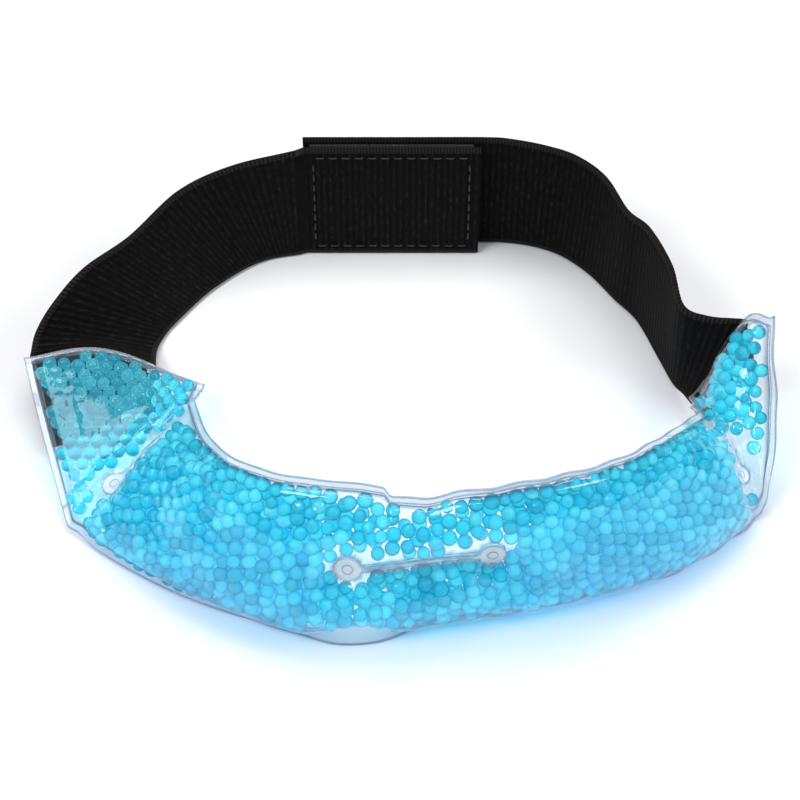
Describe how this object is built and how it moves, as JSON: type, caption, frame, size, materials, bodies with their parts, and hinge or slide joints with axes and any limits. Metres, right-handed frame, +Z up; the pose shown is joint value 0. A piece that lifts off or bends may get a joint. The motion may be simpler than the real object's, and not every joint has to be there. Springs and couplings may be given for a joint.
{
  "type": "eye pillow",
  "caption": "Clear film pouch of translucent gel beads in three chambers, worn over the eyes or brow on an elastic head strap with a hook-and-loop closure.",
  "frame": {"origin": "on the floor under the middle of the bounding box", "axes": "+X towards the wearer's-left end of the ring as seen from the front, -Y towards the pouch, +Z up"},
  "size_m": [0.2073, 0.1698, 0.0503],
  "materials": {
    "film": "clear glossy vinyl film",
    "gel": "wet translucent cyan gel",
    "webbing": "black ribbed woven elastic",
    "hook": "black hook tape",
    "loop": "black fuzzy loop tape",
    "thread": "black sewing thread"
  },
  "bodies": {
    "pouch": {"front_film": "film", "back_film": "film", "gel_beads": "gel"},
    "left_end": {"left_front_film": "film", "left_back_film": "film", "left_gel_beads": "gel", "left_anchor": "webbing", "left_anchor_stitches": "thread"},
    "left_strap": {"left_strap": "webbing"},
    "closure_tab": {"closure_tab": "webbing", "hook_patch": "hook", "hook_stitches": "thread"},
    "right_end": {"right_front_film": "film", "right_back_film": "film", "right_gel_beads": "gel", "right_anchor": "webbing", "right_anchor_stitches": "thread"},
    "right_strap": {"right_strap": "webbing", "loop_patch": "loop", "loop_stitches": "thread"}
  },
  "joints": [
    {"name": "left_fold", "type": "hinge", "parent": "pouch", "child": "left_end", "pos_m": [-0.0696, -0.02275, 0.0082], "axis": [0.6302, 0.7222, 0.2851], "range_deg": [0, 12.5]},
    {"name": "left_swing", "type": "hinge", "parent": "left_end", "child": "left_strap", "pos_m": [-0.066, 0.0138, 0.008], "axis": [0, 0, -1], "range_deg": [0, 25]},
    {"name": "tab_peel", "type": "hinge", "parent": "left_strap", "child": "closure_tab", "pos_m": [-0.0276, 0.0767, 0.02], "axis": [0, 0, -1], "range_deg": [0, 75]},
    {"name": "right_fold", "type": "hinge", "parent": "pouch", "child": "right_end", "pos_m": [0.0909, -0.0258, 0.0126], "axis": [0.6099, -0.4649, -0.6418], "range_deg": [0, 15]},
    {"name": "right_swing", "type": "hinge", "parent": "right_end", "child": "right_strap", "pos_m": [0.102, 0.004, 0.02], "axis": [0, 0, -1], "range_deg": [0, 30]}
  ],
  "couplings": [
    {"joint": "left_fold", "follows": "left_swing", "ratio": 0.5},
    {"joint": "right_fold", "follows": "right_swing", "ratio": 0.5}
  ]
}
